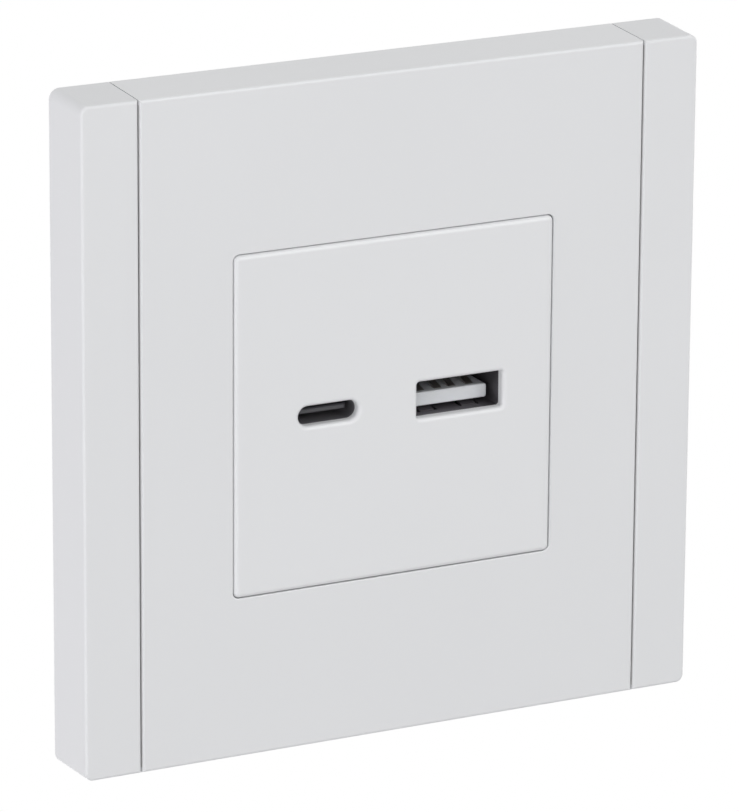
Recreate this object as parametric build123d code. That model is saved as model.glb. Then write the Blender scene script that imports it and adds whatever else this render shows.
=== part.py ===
from build123d import *
import os

# USB wall socket: a 45 mm charger insert with a USB-C and a USB-A port, in a clip-on cover plate.
# Drawn lying on its back, in millimetres: x to the right, y up, z out of the wall, wall plane at z = 0.
# The export stands it up, so that the front looks along -Y and the wiring end points along +Y.

# Clearances
SLIDE_FIT = 0.3  # between mouldings that pass each other
SNAP_FIT = 0.2  # between a hook and the ledge that it catches
SEAT_FIT = 0.1  # between a part and the pocket that locates it
SHAFT_FIT = 0.05  # radial, between a screw and what it turns in
OVERCUT = 1.0  # how far a cutting tool runs past the face that it cuts

# Cover plate
PANEL_W = 70.4
STRIP_W = 8.0
SEAM_GAP = 0.15
PLATE_H = 88.2
PLATE_D = 8.9
PLATE_CORNER_R = 1.4
PLATE_DRAFT = 2.1  # degrees, the walls lean in towards the front
PLATE_EDGE_R = 0.4
SEAM_EDGE_R = 0.4
FRONT_WALL = 2.0
RIM_WALL = 1.8
WINDOW_EDGE_R = 0.15
WINDOW_GAP = 0.1
STEP_WALL = 1.5  # wall at the seam, between the panel's front and its flange
FLANGE_T = 1.4
FLANGE_Z = 3.6  # underside of the flange above the wall
STRIP_WALL = 1.2
PANEL_RIB_T = 1.2
PANEL_RIB_PITCH = 16.0
PANEL_RIB_COUNT = 4
STRIP_HOOK_W = 5.0
STRIP_HOOK_PITCH = 28.0
STRIP_HOOK_COUNT = 3
PANEL_HOOK_W = 5.0
PANEL_HOOK_X = 29.0
HOOK_T = 1.3
HOOK_BARB = 0.9
HOOK_LIP = 0.5  # straight height of a barb before its lead-in slope
HOOK_TIP_Z = 0.4  # end of the plate's and insert's hooks above the wall

# Mounting support
SUPPORT_SIZE = 69.2
SUPPORT_CORNER_R = 5.0
SUPPORT_PAD = 1.6  # height of the ribs that rest on the wall
SUPPORT_WEB_T = 1.6
SUPPORT_RIM = 1.4
SUPPORT_RIB_T = 1.2
SUPPORT_RIB_X = 12.0
COLLAR_WALL = 1.5
LEDGE_Z = 2.4
LEDGE_T = 1.5
LEDGE_DEPTH = 1.8
BOX_SCREW_SPACING = 60.0
SCREW_SLOT_W = 4.2
SCREW_SLOT_L = 6.0
SCREW_BOSS_WALL = 1.2

# Insert
INSERT_SIZE = 44.9
INSERT_PROUD = 0.3
INSERT_CORNER_R = 0.75
INSERT_EDGE_R = 0.7
COVER_WALL = 1.3
SKIRT_WALL = 1.3
COVER_HOOK_W = 5.0
COVER_HOOK_X = 9.0
HOOK_FLEX = 1.0  # room behind a cover hook to bend
SIDE_SKIRT_H = 26.0
SIDE_SKIRT_Z = -1.8
SNAP_W = 6.0
SNAP_H = 2.0
SNAP_Z = 0.6
SNAP_PITCH = 14.0
POST_R = 1.5
POST_TIP_R = 1.1
POST_INSET = 3.0
PORT_FRAME_WALL = 0.9
PORT_FRAME_H = 1.2
HOUSING_WALL = 1.5
HOUSING_CORNER_R = 3.0
HOUSING_EDGE_R = 1.0
BOARD_RIB_T = 2.0
BOARD_RIB_DEPTH = 2.0
BOARD_RIB_PITCH = 18.0
BOARD_POST_R = 1.8

# Ports
PORT_SPACING = 18.6
PORT_RISE = 0.3  # of the ports' centre line above the insert's centre
RECEPTACLE_L = 14.0
SHELL_T = 0.3
A_LEG_W = 2.0
SHELL_LEG_L = 2.2
C_LEG_W = 1.2
A_APERTURE_W = 12.2
A_APERTURE_H = 4.8
A_APERTURE_R = 0.4
APERTURE_EDGE_R = 0.6
A_SHELL_W = 12.5  # inside
A_SHELL_H = 5.12
A_SHELL_R = 0.4
A_SPRING_W = 2.0
A_SPRING_L = 6.0
A_SPRING_X = 3.0
A_SPRING_DIP = 0.45
A_SPRING_SLOT = 0.4
A_SPRING_PEAK = 0.65  # share of the spring's length up to its lowest point
A_TONGUE_W = 11.1
A_TONGUE_T = 1.84
A_TONGUE_TOP = -0.1  # below the port's centre line
A_TONGUE_SETBACK = 2.1  # behind the shell's mouth
A_TONGUE_CORNER_R = 0.35
A_TONGUE_EDGE_R = 0.2
A_BASE_L = 4.0
A_CONTACT_X = (-3.5, -1.0, 1.0, 3.5)
A_CONTACT_W = 1.0
A_CONTACT_T = 0.25
A_CONTACT_RISE = 0.55
A_CONTACT_CREST = 0.7  # share of the free length up to its highest point
A_CONTACT_SETBACK = 0.8  # behind the tongue's front
C_APERTURE_W = 8.4
C_APERTURE_H = 2.6
C_SHELL_W = 8.34  # inside
C_SHELL_H = 2.6
C_TONGUE_W = 6.69
C_TONGUE_T = 0.7
C_TONGUE_SETBACK = 0.9
C_TONGUE_CHAMFER = 0.15
C_STEP_T = 1.3
C_STEP_L = 1.6
C_BASE_L = 7.1
C_CONTACT_PITCH = 0.5
C_CONTACT_COUNT = 12
C_CONTACT_W = 0.25
C_CONTACT_T = 0.06
C_CONTACT_L = 3.4

# Boards
PORT_BOARD_T = 1.2
BOARD_SPACING = 13.2
POWER_BOARD_T = 1.6
BOARD_CORNER_R = 1.0
SOLDER_ROOM = 2.0
EDGE_ROOM = 1.0  # from the power board's edge to the parts on it
PART_ROOM = 0.8  # between neighbouring parts on the power board

# Parts on the boards
CORE_W = 13.0
CORE_T = 5.9
CORE_HALF_H = 6.0
CORE_BACK = 1.6
CORE_LEG = 1.6
CORE_CENTRE_LEG = 2.7
BOBBIN_WALL = 0.7
BOBBIN_FLANGE_T = 0.8
BOBBIN_DEPTH = 12.0
BOBBIN_CORNER_R = 1.2
WINDING_MARGIN = 0.6  # how far the winding stays inside the flanges
INPUT_CAP_R = 4.0
INPUT_CAP_L = 12.0
OUTPUT_CAP_R = 4.0
OUTPUT_CAP_L = 11.5
CAP_EDGE_R = 0.6
CAP_GROOVE = 0.35
CAP_GROOVE_L = 2.2
CAP_VENT_DEPTH = 0.2
CAP_VENT_W = 0.3
SUPPRESSION_W = 13.0
SUPPRESSION_T = 5.0
SUPPRESSION_H = 10.5
SUPPRESSION_EDGE_R = 0.6
CHOKE_R = 4.0
CHOKE_H = 9.0
CHOKE_FLANGE = 1.2
CHOKE_CORE_R = 1.8
CHOKE_WINDING_R = 3.4
BRIDGE_W = 9.0
BRIDGE_T = 6.4
BRIDGE_H = 3.2
BRIDGE_CHAMFER = 0.5
BRIDGE_LEAD_W = 0.9
BRIDGE_LEAD_T = 0.3
BRIDGE_LEAD_PITCH = 5.1
BRIDGE_STANDOFF = 0.15
FUSE_R = 1.7
FUSE_L = 7.0
FUSE_CAP_L = 1.6
FUSE_WAIST = 0.25
LEAD_R = 0.3
LEAD_REACH = 1.2
LINK_COUNT = 4
LINK_PITCH = 2.54
LINK_PIN = 0.64
LINK_HEADER_T = 2.5
LINK_HEADER_R = 0.5
POWER_CONTROLLER_AT = (-8.0, 8.0)
PORT_CONTROLLER_AT = (0.0, -7.0)
CONTROLLER_W = 4.9
CONTROLLER_H = 3.9
CONTROLLER_T = 1.2
CONTROLLER_CHAMFER = 0.25
CONTROLLER_LEADS = 4
CONTROLLER_LEAD_PITCH = 1.27
CONTROLLER_LEAD_W = 0.4
CONTROLLER_LEAD_T = 0.2
CONTROLLER_LEAD_L = 1.0

# Mains terminals: heights are measured along y from the block's lower face
TERMINAL_PITCH = 9.6
TERMINAL_INSET = 1.25  # from the power board's lower edge to the block
TERMINAL_D = 10.2  # behind the power board
TERMINAL_SIDE_WALL = 1.7
TERMINAL_REAR_WALL = 1.0
TERMINAL_FLOOR = 1.0
TERMINAL_WEB = 0.8
TERMINAL_TOP = 1.2
TERMINAL_EDGE_R = 0.5
SCREW_R = 1.5
SCREW_HEAD_R = 2.5
SCREW_HEAD_H = 1.7
SCREW_DRIVE_W = 0.8
SCREW_DRIVE_D = 0.9
DRIVER_HOLE_R = 2.0
CLAMP_W = 5.6
CLAMP_L = 5.0
CLAMP_NUT_T = 1.2
CLAMP_SIDE_T = 0.8
CLAMP_FOOT_T = 0.9
CLAMP_TRAVEL = 2.0
WIRE_GAP = 2.3
WIRE_FUNNEL = 0.5
BAR_W = 3.4
BAR_T = 0.8

# Heights above the wall plane and outlines that follow from the sizes above
PLATE_W = PANEL_W + 2 * (SEAM_GAP + STRIP_W)
SEAM_X = PANEL_W / 2
STRIP_X = SEAM_X + SEAM_GAP
PANEL_BACK = PLATE_D - FRONT_WALL
FLANGE_TOP = FLANGE_Z + FLANGE_T
RIM_Y = PLATE_H / 2 - RIM_WALL
FLANGE_X = PLATE_W / 2 - RIM_WALL - SLIDE_FIT
STRIP_HOOK_X = FLANGE_X - HOOK_T - 2 * SNAP_FIT - HOOK_BARB
SUPPORT_TOP = SUPPORT_PAD + SUPPORT_WEB_T
COLLAR_IN = INSERT_SIZE / 2 + SNAP_FIT
COLLAR_OUT = COLLAR_IN + COLLAR_WALL
COLLAR_TOP = PANEL_BACK - SLIDE_FIT
LEDGE_TOP = LEDGE_Z + LEDGE_T
LEDGE_IN = COLLAR_IN - LEDGE_DEPTH
WINDOW_SIZE = INSERT_SIZE + 2 * WINDOW_GAP
INSERT_FRONT = PLATE_D + INSERT_PROUD
COVER_BACK = INSERT_FRONT - COVER_WALL
SKIRT_IN = INSERT_SIZE / 2 - SKIRT_WALL
COVER_HOOK_Y = LEDGE_IN - SLIDE_FIT - HOOK_T
HOUSING_X = SKIRT_IN - SLIDE_FIT
HOUSING_Y = COVER_HOOK_Y - HOOK_FLEX
HOUSING_FRONT = COVER_BACK - SNAP_FIT
HOUSING_IN_X = HOUSING_X - HOUSING_WALL
HOUSING_IN_Y = HOUSING_Y - HOUSING_WALL
BOARD_H = 2 * (HOUSING_IN_Y - SLIDE_FIT)
PORT_BOARD_W = 2 * (HOUSING_IN_X - SLIDE_FIT)
POWER_BOARD_W = PORT_BOARD_W - 2 * BOARD_RIB_DEPTH
MOUTH_Z = COVER_BACK - SEAT_FIT
PORT_BOARD_Z = MOUTH_Z - RECEPTACLE_L
PORT_BOARD_BACK = PORT_BOARD_Z - PORT_BOARD_T
POWER_BOARD_Z = PORT_BOARD_BACK - BOARD_SPACING
POWER_BOARD_BACK = POWER_BOARD_Z - POWER_BOARD_T
HOUSING_FLOOR = POWER_BOARD_BACK - SOLDER_ROOM
HOUSING_BACK = HOUSING_FLOOR - HOUSING_WALL
A_PORT = Pos(PORT_SPACING / 2, PORT_RISE, 0)
C_PORT = Pos(-PORT_SPACING / 2, PORT_RISE, 0)
A_TONGUE_Z = MOUTH_Z - A_TONGUE_SETBACK
C_TONGUE_Z = MOUTH_Z - C_TONGUE_SETBACK

# Places x, y of the parts on the power board, from its edges inwards
ROOM_X = POWER_BOARD_W / 2 - EDGE_ROOM
ROOM_Y = BOARD_H / 2 - EDGE_ROOM
BRIDGE_HALF = BRIDGE_T / 2 + BRIDGE_LEAD_T
FUSE_HALF = FUSE_L / 2 + LEAD_REACH + LEAD_R
INPUT_CAP_AT = (INPUT_CAP_R - ROOM_X, INPUT_CAP_R - ROOM_Y)
BRIDGE_AT = (BRIDGE_W / 2 - ROOM_X, ROOM_Y - BRIDGE_HALF)
CHOKE_AT = (CHOKE_R - ROOM_X, BRIDGE_AT[1] - BRIDGE_HALF - PART_ROOM - CHOKE_R)
SUPPRESSION_AT = (
    INPUT_CAP_AT[0] + INPUT_CAP_R + PART_ROOM + SUPPRESSION_T / 2,
    SUPPRESSION_W / 2 - ROOM_Y,
)
OUTPUT_CAP_AT = (ROOM_X - OUTPUT_CAP_R, OUTPUT_CAP_R - ROOM_Y)
FUSE_AT = (OUTPUT_CAP_AT[0] - OUTPUT_CAP_R - PART_ROOM - FUSE_R, FUSE_HALF - ROOM_Y)
LINK_AT = (ROOM_X - LINK_COUNT * LINK_PITCH / 2, ROOM_Y - LINK_HEADER_T / 2)
TRANSFORMER_AT = (
    ROOM_X - CORE_W / 2,
    LINK_AT[1] - LINK_HEADER_T / 2 - PART_ROOM - BOBBIN_DEPTH / 2,
)

# Heights along y inside a terminal, from its lower face up
TERMINAL_LOW_Y = TERMINAL_INSET - BOARD_H / 2
HEAD_Y = TERMINAL_LOW_Y + TERMINAL_FLOOR + SEAT_FIT
WEB_Y = HEAD_Y + SCREW_HEAD_H + SEAT_FIT
NUT_Y = WEB_Y + TERMINAL_WEB + SLIDE_FIT + CLAMP_TRAVEL
BAR_Y = NUT_Y + CLAMP_NUT_T + SLIDE_FIT
FOOT_Y = BAR_Y + BAR_T + WIRE_GAP
TERMINAL_TOP_Y = FOOT_Y + CLAMP_FOOT_T + SLIDE_FIT + TERMINAL_TOP
TERMINAL_BACK = POWER_BOARD_BACK - TERMINAL_D
POCKET_BACK = TERMINAL_BACK + TERMINAL_REAR_WALL
CLAMP_Z = POCKET_BACK + SLIDE_FIT + CLAMP_L / 2
TERMINAL_X = (-TERMINAL_PITCH / 2, TERMINAL_PITCH / 2)


def block(x, y, z):
    """Box that spans the given low and high values on each axis."""
    low = (x[0], y[0], z[0])
    size = (x[1] - x[0], y[1] - y[0], z[1] - z[0])
    return Pos(*low) * Box(*size, align=Align.MIN)


def across(half):
    """Low and high value of a span that is centred on zero."""
    return (-half, half)


def prism(sketch, low, high):
    """Sketch on the wall plane, extruded from one height to another."""
    return Pos(0, 0, low) * extrude(sketch, high - low)


def hook(width, root, tip, catch):
    """Snap hook along -z: its back is at y = 0 and its barb points to +y, just under the catch height."""
    reach = HOOK_T + HOOK_BARB
    profile = Polygon(
        (0, root),
        (HOOK_T, root),
        (HOOK_T, catch),
        (reach, catch),
        (reach, catch - HOOK_LIP),
        (HOOK_T / 2, tip),
        (0, tip),
        align=None,
    )
    return extrude(Plane.YZ * profile, width / 2, both=True)


def hook_slot(width):
    """Outline of the slot that a hook passes through, with room for its barb to bend back."""
    depth = HOOK_T + HOOK_BARB + 2 * SNAP_FIT
    return Pos(0, HOOK_T + SNAP_FIT - depth / 2) * Rectangle(width + 2 * SLIDE_FIT, depth)


# Cover plate


def plate_blank():
    """Outer form of the whole plate: walls that lean in, rounded corners and a soft front edge."""
    slab = extrude(RectangleRounded(PLATE_W, PLATE_H, PLATE_CORNER_R), PLATE_D, taper=PLATE_DRAFT)
    return fillet(slab.faces().sort_by(Axis.Z)[-1].edges(), PLATE_EDGE_R)


def seam_groove():
    """Groove along the right-hand seam: the gap widens to the front between two round shoulders."""
    low = PLATE_D - SEAM_EDGE_R
    sides = (SEAM_X - SEAM_EDGE_R, STRIP_X + SEAM_EDGE_R)
    groove = block(sides, across(PLATE_H), (low, PLATE_D + OVERCUT))
    shoulder = Rot(90, 0, 0) * Cylinder(SEAM_EDGE_R, 2 * PLATE_H)
    return groove - [Pos(x, 0, low) * shoulder for x in sides]


def strip_hook_places():
    """Places of the hooks along the right-hand strip, with the barb turned to +x."""
    return [
        Pos(STRIP_HOOK_X, (i - (STRIP_HOOK_COUNT - 1) / 2) * STRIP_HOOK_PITCH) * Rot(0, 0, -90)
        for i in range(STRIP_HOOK_COUNT)
    ]


def panel_hook_places():
    """Places of the panel's hooks above and below the window, with the barbs turned outwards."""
    y = COLLAR_OUT + SLIDE_FIT + HOOK_BARB + 2 * SNAP_FIT
    places = [Pos(x, y) for x in (-PANEL_HOOK_X, PANEL_HOOK_X)]
    return places + [Rot(0, 0, 180) * place for place in places]


def panel_flange():
    """Right-hand flange that carries a strip, with the slots for the strip's hooks."""
    flange = block((SEAM_X - STEP_WALL, FLANGE_X), across(RIM_Y - SLIDE_FIT), (FLANGE_Z, FLANGE_TOP))
    for place in strip_hook_places():
        flange -= place * prism(hook_slot(STRIP_HOOK_W), FLANGE_Z - OVERCUT, FLANGE_TOP + OVERCUT)
    return flange


def panel_ribs():
    """Stiffening ribs between the front wall and the upper rim, clear of the support."""
    low = SUPPORT_SIZE / 2 + SLIDE_FIT
    profile = Polygon((low, PANEL_BACK), (RIM_Y, PANEL_BACK), (RIM_Y, HOOK_TIP_Z), align=None)
    rib = extrude(Plane.YZ * profile, PANEL_RIB_T / 2, both=True)
    return [
        Pos((i - (PANEL_RIB_COUNT - 1) / 2) * PANEL_RIB_PITCH) * rib for i in range(PANEL_RIB_COUNT)
    ]


def frame_panel():
    """Middle of the plate: front wall with the window, rims, side flanges, ribs and hooks."""
    body = plate_blank() & block(across(SEAM_X), across(PLATE_H), across(2 * PLATE_D))
    groove = seam_groove()
    body -= [groove, mirror(groove, about=Plane.YZ)]
    window = RectangleRounded(WINDOW_SIZE, WINDOW_SIZE, INSERT_CORNER_R + WINDOW_GAP)
    body -= prism(window, -OVERCUT, PLATE_D + OVERCUT)
    front = body.faces().sort_by(Axis.Z)[-1]
    body = fillet(front.inner_wires()[0].edges(), WINDOW_EDGE_R)
    body -= block(across(SEAM_X - STEP_WALL), across(RIM_Y), (-OVERCUT, PANEL_BACK))
    body -= block(across(SEAM_X + OVERCUT), across(RIM_Y), (-OVERCUT, FLANGE_Z))
    flange = panel_flange()
    body += [flange, mirror(flange, about=Plane.YZ)]
    ribs = panel_ribs()
    body += ribs + [mirror(rib, about=Plane.XZ) for rib in ribs]
    arm = hook(PANEL_HOOK_W, PANEL_BACK, HOOK_TIP_Z, SUPPORT_PAD - SNAP_FIT)
    return body + [place * arm for place in panel_hook_places()]


def side_strip():
    """Right-hand trim strip: a hollow moulding with hooks that snap through the panel's flange."""
    outer = PLATE_W / 2
    body = plate_blank() & block((STRIP_X, outer), across(PLATE_H), across(2 * PLATE_D))
    body -= seam_groove()
    body -= block((STRIP_X + STRIP_WALL, outer - RIM_WALL), across(RIM_Y), (-OVERCUT, PANEL_BACK))
    below_flange = FLANGE_TOP + SNAP_FIT
    body -= block((STRIP_X - OVERCUT, outer - RIM_WALL), across(RIM_Y), (-OVERCUT, below_flange))
    arm = hook(STRIP_HOOK_W, PANEL_BACK, HOOK_TIP_Z, FLANGE_Z - SNAP_FIT)
    return body + [place * arm for place in strip_hook_places()]


# Mounting support


def four_sides(shape):
    """The shape and its three copies turned round the socket's axis."""
    return [Rot(0, 0, 90 * turn) * shape for turn in range(4)]


def support_pads():
    """Ribs that rest on the wall: outer rim, screw bosses, and ribs from the collar to the rim."""
    inner = SUPPORT_SIZE - 2 * SUPPORT_RIM
    rim = RectangleRounded(SUPPORT_SIZE, SUPPORT_SIZE, SUPPORT_CORNER_R)
    rim -= RectangleRounded(inner, inner, SUPPORT_CORNER_R - SUPPORT_RIM)
    boss = SlotOverall(SCREW_SLOT_L + 2 * SCREW_BOSS_WALL, SCREW_SLOT_W + 2 * SCREW_BOSS_WALL)
    boss = Pos(BOX_SCREW_SPACING / 2, 0) * boss
    length = SUPPORT_SIZE / 2 - COLLAR_OUT
    middle = COLLAR_OUT + length / 2
    pads = [prism(rim, 0, SUPPORT_PAD)] + four_sides(prism(boss, 0, SUPPORT_PAD))
    for y in (-SUPPORT_RIB_X, SUPPORT_RIB_X):
        rib = Pos(middle, y) * Rectangle(length, SUPPORT_RIB_T)
        pads += four_sides(prism(rib, 0, SUPPORT_PAD))
    return pads


def mounting_support():
    """Square support: web on wall pads, collar round the insert, ledges, screw slots and hook slots."""
    outline = RectangleRounded(SUPPORT_SIZE, SUPPORT_SIZE, SUPPORT_CORNER_R)
    body = prism(outline, SUPPORT_PAD, SUPPORT_TOP) + support_pads()
    body += prism(Rectangle(2 * COLLAR_OUT, 2 * COLLAR_OUT), 0, COLLAR_TOP)
    body -= prism(Rectangle(2 * COLLAR_IN, 2 * COLLAR_IN), -OVERCUT, COLLAR_TOP + OVERCUT)
    ledge = block(across(COLLAR_IN), (LEDGE_IN, COLLAR_IN), (LEDGE_Z, LEDGE_TOP))
    body += [ledge, mirror(ledge, about=Plane.XZ)]
    slot = Pos(BOX_SCREW_SPACING / 2, 0) * SlotOverall(SCREW_SLOT_L, SCREW_SLOT_W)
    body -= four_sides(prism(slot, -OVERCUT, SUPPORT_TOP + OVERCUT))
    window = prism(hook_slot(PANEL_HOOK_W), -OVERCUT, SUPPORT_TOP + OVERCUT)
    return body - [place * window for place in panel_hook_places()]


# Insert mouldings


def rounded_tube(width, height, radius, wall):
    """Section of a rectangular tube, given by its inside."""
    outer = RectangleRounded(width + 2 * wall, height + 2 * wall, radius + wall)
    return outer - RectangleRounded(width, height, radius)


def obround_tube(width, height, wall):
    """Section of a tube with half-round ends, given by its inside."""
    return SlotOverall(width + 2 * wall, height + 2 * wall) - SlotOverall(width, height)


def cut_aperture(body, sketch):
    """Cuts a port opening through the front wall and rounds its outer edge."""
    body -= prism(sketch, COVER_BACK - OVERCUT, INSERT_FRONT + OVERCUT)
    front = body.faces().sort_by(Axis.Z)[-1]
    middle = sketch.center()
    wire = front.inner_wires().sort_by_distance((middle.X, middle.Y, INSERT_FRONT))[0]
    return fillet(wire.edges(), APERTURE_EDGE_R)


def cover_skirts():
    """Longer skirts at the sides, with the windows that the housing's barbs snap into."""
    outer = INSERT_SIZE / 2
    skirt = block((SKIRT_IN, outer), across(SIDE_SKIRT_H / 2), (SIDE_SKIRT_Z, COVER_BACK))
    for y in (-SNAP_PITCH / 2, SNAP_PITCH / 2):
        half = SNAP_W / 2 + SNAP_FIT
        z = (SNAP_Z - SNAP_FIT, SNAP_Z + SNAP_H + SNAP_FIT)
        skirt -= block((SKIRT_IN - OVERCUT, outer + OVERCUT), (y - half, y + half), z)
    return [skirt, mirror(skirt, about=Plane.YZ)]


def cover_posts():
    """Posts that hold the port board against the housing's ribs."""
    height = COVER_BACK - PORT_BOARD_Z
    post = Cone(POST_TIP_R, POST_R, height, align=(Align.CENTER, Align.CENTER, Align.MIN))
    x = PORT_BOARD_W / 2 - POST_INSET
    y = BOARD_H / 2 - POST_INSET
    return [Pos(i * x, j * y, PORT_BOARD_Z) * post for i in (-1, 1) for j in (-1, 1)]


def port_frames():
    """Low walls behind the openings that locate the two receptacles."""
    gap = SHELL_T + SEAT_FIT
    a_frame = rounded_tube(A_SHELL_W + 2 * gap, A_SHELL_H + 2 * gap, A_SHELL_R + gap, PORT_FRAME_WALL)
    c_frame = obround_tube(C_SHELL_W + 2 * gap, C_SHELL_H + 2 * gap, PORT_FRAME_WALL)
    low = COVER_BACK - PORT_FRAME_H
    return [A_PORT * prism(a_frame, low, COVER_BACK), C_PORT * prism(c_frame, low, COVER_BACK)]


def insert_cover():
    """Square face of the insert, with the port openings, skirts, hooks and posts."""
    outline = RectangleRounded(INSERT_SIZE, INSERT_SIZE, INSERT_CORNER_R)
    body = prism(outline, LEDGE_TOP, INSERT_FRONT)
    body = fillet(body.faces().sort_by(Axis.Z)[-1].edges(), INSERT_EDGE_R)
    body -= prism(Rectangle(2 * SKIRT_IN, 2 * SKIRT_IN), LEDGE_TOP - OVERCUT, COVER_BACK)
    body = cut_aperture(body, A_PORT * RectangleRounded(A_APERTURE_W, A_APERTURE_H, A_APERTURE_R))
    body = cut_aperture(body, C_PORT * SlotOverall(C_APERTURE_W, C_APERTURE_H))
    body += cover_skirts() + cover_posts() + port_frames()
    arm = hook(COVER_HOOK_W, COVER_BACK, HOOK_TIP_Z, LEDGE_Z - SNAP_FIT)
    upper = [Pos(x, COVER_HOOK_Y) * arm for x in (-COVER_HOOK_X, COVER_HOOK_X)]
    return body + upper + [mirror(one, about=Plane.XZ) for one in upper]


def housing_barbs():
    """Wedges on the housing's sides that snap into the cover's skirts."""
    tip = HOUSING_X + SLIDE_FIT + SKIRT_WALL / 2
    low = SNAP_Z
    profile = Polygon(
        (HOUSING_X, low),
        (tip, low),
        (tip, low + HOOK_LIP),
        (HOUSING_X, low + SNAP_H),
        align=None,
    )
    wedge = extrude(Plane.XZ * profile, SNAP_W / 2, both=True)
    right = [Pos(0, y) * wedge for y in (-SNAP_PITCH / 2, SNAP_PITCH / 2)]
    return right + [mirror(one, about=Plane.YZ) for one in right]


def housing_supports():
    """Ribs under the port board and posts under the power board."""
    ribs = []
    posts = []
    post_x = POWER_BOARD_W / 2 - POST_INSET
    post_y = BOARD_H / 2 - POST_INSET
    post = Cylinder(BOARD_POST_R, SOLDER_ROOM, align=(Align.CENTER, Align.CENTER, Align.MIN))
    for j in (-1, 1):
        y = j * BOARD_RIB_PITCH / 2
        span = (y - BOARD_RIB_T / 2, y + BOARD_RIB_T / 2)
        rib = block((HOUSING_IN_X - BOARD_RIB_DEPTH, HOUSING_IN_X), span, (HOUSING_FLOOR, PORT_BOARD_BACK))
        ribs += [rib, mirror(rib, about=Plane.YZ)]
        posts += [Pos(i * post_x, j * post_y, HOUSING_FLOOR) * post for i in (-1, 1)]
    return ribs + posts


def insert_housing():
    """Rear housing: a deep open box with board supports, snap barbs and the terminal block's cut-out."""
    outline = RectangleRounded(2 * HOUSING_X, 2 * HOUSING_Y, HOUSING_CORNER_R)
    inside = RectangleRounded(2 * HOUSING_IN_X, 2 * HOUSING_IN_Y, HOUSING_CORNER_R - HOUSING_WALL)
    body = prism(outline, HOUSING_BACK, HOUSING_FRONT)
    body = fillet(body.faces().sort_by(Axis.Z)[0].edges(), HOUSING_EDGE_R)
    body -= prism(inside, HOUSING_FLOOR, HOUSING_FRONT + OVERCUT)
    body += housing_barbs() + housing_supports()
    half = terminal_half_width() + SLIDE_FIT
    y = (TERMINAL_LOW_Y - SLIDE_FIT, TERMINAL_TOP_Y + SLIDE_FIT)
    return body - block(across(half), y, (HOUSING_BACK - OVERCUT, HOUSING_FLOOR + OVERCUT))


# Ports


def shell_legs(half_width, leg_width):
    """Two solder legs of a receptacle shell, down through the port board."""
    z = (PORT_BOARD_Z - SHELL_LEG_L, PORT_BOARD_Z)
    leg = block((half_width, half_width + SHELL_T), across(leg_width / 2), z)
    return [leg, mirror(leg, about=Plane.YZ)]


def shell_spring():
    """Spring finger pressed out of a shell wall at y = 0: its root is at the rear and it dips to -y."""
    peak = A_SPRING_PEAK * A_SPRING_L
    profile = Polygon(
        (0, 0),
        (SHELL_T, 0),
        (SHELL_T - A_SPRING_DIP, peak),
        (SHELL_T, A_SPRING_L),
        (0, A_SPRING_L),
        (-A_SPRING_DIP, peak),
        align=None,
    )
    return extrude(Plane.YZ * profile, A_SPRING_W / 2, both=True)


def usb_a_shell():
    """Folded steel shell of the USB-A receptacle, with spring fingers and solder legs."""
    section = rounded_tube(A_SHELL_W, A_SHELL_H, A_SHELL_R, SHELL_T)
    body = prism(section, PORT_BOARD_Z, MOUTH_Z)
    low = MOUTH_Z - A_TONGUE_SETBACK - A_SPRING_L
    window_x = A_SPRING_W / 2 + A_SPRING_SLOT
    window = block(across(window_x), (-OVERCUT, SHELL_T + OVERCUT), (0, A_SPRING_L + A_SPRING_SLOT))
    for turn in (0, 180):
        for x in (-A_SPRING_X, A_SPRING_X):
            place = Rot(0, 0, turn) * Pos(x, A_SHELL_H / 2, low)
            body -= place * window
            body += place * shell_spring()
    return A_PORT * (body + shell_legs(A_SHELL_W / 2, A_LEG_W))


def usb_a_insulator():
    """White insulator: base in the rear of the shell and the tongue with its contact grooves."""
    base = RectangleRounded(A_SHELL_W - 2 * SEAT_FIT, A_SHELL_H - 2 * SEAT_FIT, A_SHELL_R)
    body = prism(base, PORT_BOARD_Z, PORT_BOARD_Z + A_BASE_L)
    section = RectangleRounded(A_TONGUE_W, A_TONGUE_T, A_TONGUE_CORNER_R)
    tongue = prism(Pos(0, A_TONGUE_TOP - A_TONGUE_T / 2) * section, PORT_BOARD_Z, A_TONGUE_Z)
    tongue = fillet(tongue.faces().sort_by(Axis.Z)[-1].edges(), A_TONGUE_EDGE_R)
    body += tongue
    half = A_CONTACT_W / 2 + SEAT_FIT
    groove_y = (A_TONGUE_TOP - A_CONTACT_T, A_TONGUE_TOP + SEAT_FIT)
    for x in A_CONTACT_X:
        groove_z = (PORT_BOARD_Z - OVERCUT, A_TONGUE_Z - A_CONTACT_SETBACK + SEAT_FIT)
        body -= block((x - half, x + half), groove_y, groove_z)
    return A_PORT * body


def usb_a_contacts():
    """Four bowed contact springs that lie in the tongue's grooves and rise towards the plug."""
    low = A_TONGUE_TOP - A_CONTACT_T
    front = A_TONGUE_Z - A_CONTACT_SETBACK
    base = PORT_BOARD_Z + A_BASE_L
    crest = base + A_CONTACT_CREST * (front - base)
    profile = Polygon(
        (low, PORT_BOARD_Z),
        (low + A_CONTACT_T, PORT_BOARD_Z),
        (low + A_CONTACT_T, base + A_CONTACT_T),
        (low + A_CONTACT_T + A_CONTACT_RISE, crest),
        (low + A_CONTACT_T, front),
        (low, front),
        (low + A_CONTACT_RISE, crest),
        (low, base + A_CONTACT_T),
        align=None,
    )
    strip = extrude(Plane.YZ * profile, A_CONTACT_W / 2, both=True)
    return [A_PORT * Pos(x) * strip for x in A_CONTACT_X]


def usb_c_shell():
    """Seamless steel shell of the USB-C receptacle, with its solder legs."""
    body = prism(obround_tube(C_SHELL_W, C_SHELL_H, SHELL_T), PORT_BOARD_Z, MOUTH_Z)
    return C_PORT * (body + shell_legs(C_SHELL_W / 2, C_LEG_W))


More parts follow.
